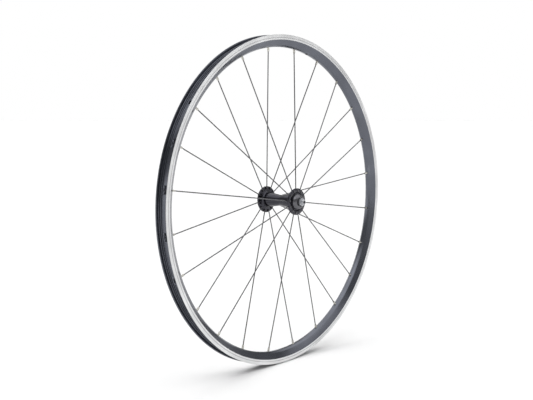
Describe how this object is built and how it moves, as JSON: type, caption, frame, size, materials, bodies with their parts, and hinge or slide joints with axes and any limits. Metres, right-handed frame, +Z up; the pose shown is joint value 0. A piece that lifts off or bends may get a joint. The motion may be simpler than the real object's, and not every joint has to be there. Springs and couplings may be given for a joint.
{
  "type": "bicycle front wheel",
  "caption": "Bicycle front wheel: clincher rim with machined brake tracks, radial spokes with nipples, and a quick-release hub turning on caged ball bearings.",
  "frame": {"origin": "the wheel's centre, on the axle's line midway between the two flanges", "axes": "+Z up, +X forward, +Y to the rider's left along the axle"},
  "size_m": [0.596, 0.108, 0.596],
  "materials": {
    "rim": "black anodised, with machined brake tracks",
    "sleeve": "extruded",
    "hub_shell": "gloss black",
    "spoke_wire": "drawn stainless wire",
    "nipple": "nickel plated",
    "bearing_steel": "ground",
    "black_steel": "black plated",
    "plated_steel": "zinc plated"
  },
  "bodies": {
    "axle": {"axle": "plated_steel", "cone_left": "black_steel", "cone_right": "black_steel", "locknut_left": "plated_steel", "locknut_right": "plated_steel"},
    "wheel": {"rim": "rim", "joint_sleeve": "sleeve", "hub_shell": "hub_shell", "bearing_cup_left": "bearing_steel", "bearing_cup_right": "bearing_steel", "spoke_01": "spoke_wire", "spoke_02": "spoke_wire", "spoke_03": "spoke_wire", "spoke_04": "spoke_wire", "spoke_05": "spoke_wire", "spoke_06": "spoke_wire", "spoke_07": "spoke_wire", "spoke_08": "spoke_wire", "spoke_09": "spoke_wire", "spoke_10": "spoke_wire", "spoke_11": "spoke_wire", "spoke_12": "spoke_wire", "spoke_13": "spoke_wire", "spoke_14": "spoke_wire", "spoke_15": "spoke_wire", "spoke_16": "spoke_wire", "spoke_17": "spoke_wire", "spoke_18": "spoke_wire", "spoke_19": "spoke_wire", "spoke_20": "spoke_wire", "spoke_21": "spoke_wire", "spoke_22": "spoke_wire", "spoke_23": "spoke_wire", "spoke_24": "spoke_wire", "nipple_01": "nipple", "nipple_02": "nipple", "nipple_03": "nipple", "nipple_04": "nipple", "nipple_05": "nipple", "nipple_06": "nipple", "nipple_07": "nipple", "nipple_08": "nipple", "nipple_09": "nipple", "nipple_10": "nipple", "nipple_11": "nipple", "nipple_12": "nipple", "nipple_13": "nipple", "nipple_14": "nipple", "nipple_15": "nipple", "nipple_16": "nipple", "nipple_17": "nipple", "nipple_18": "nipple", "nipple_19": "nipple", "nipple_20": "nipple", "nipple_21": "nipple", "nipple_22": "nipple", "nipple_23": "nipple", "nipple_24": "nipple"},
    "balls_left": {"caged_balls_left": "bearing_steel"},
    "balls_right": {"caged_balls_right": "bearing_steel"}
  },
  "joints": [
    {"name": "wheel_spin", "type": "hinge", "parent": "axle", "child": "wheel", "pos_m": [0, 0, 0], "axis": [0, 1, 0], "continuous": true},
    {"name": "balls_left_spin", "type": "hinge", "parent": "axle", "child": "balls_left", "pos_m": [0, 0, 0], "axis": [0, 1, 0], "continuous": true},
    {"name": "balls_right_spin", "type": "hinge", "parent": "axle", "child": "balls_right", "pos_m": [0, 0, 0], "axis": [0, 1, 0], "continuous": true}
  ],
  "couplings": [
    {"joint": "balls_left_spin", "follows": "wheel_spin", "ratio": 0.603},
    {"joint": "balls_right_spin", "follows": "wheel_spin", "ratio": 0.603}
  ]
}
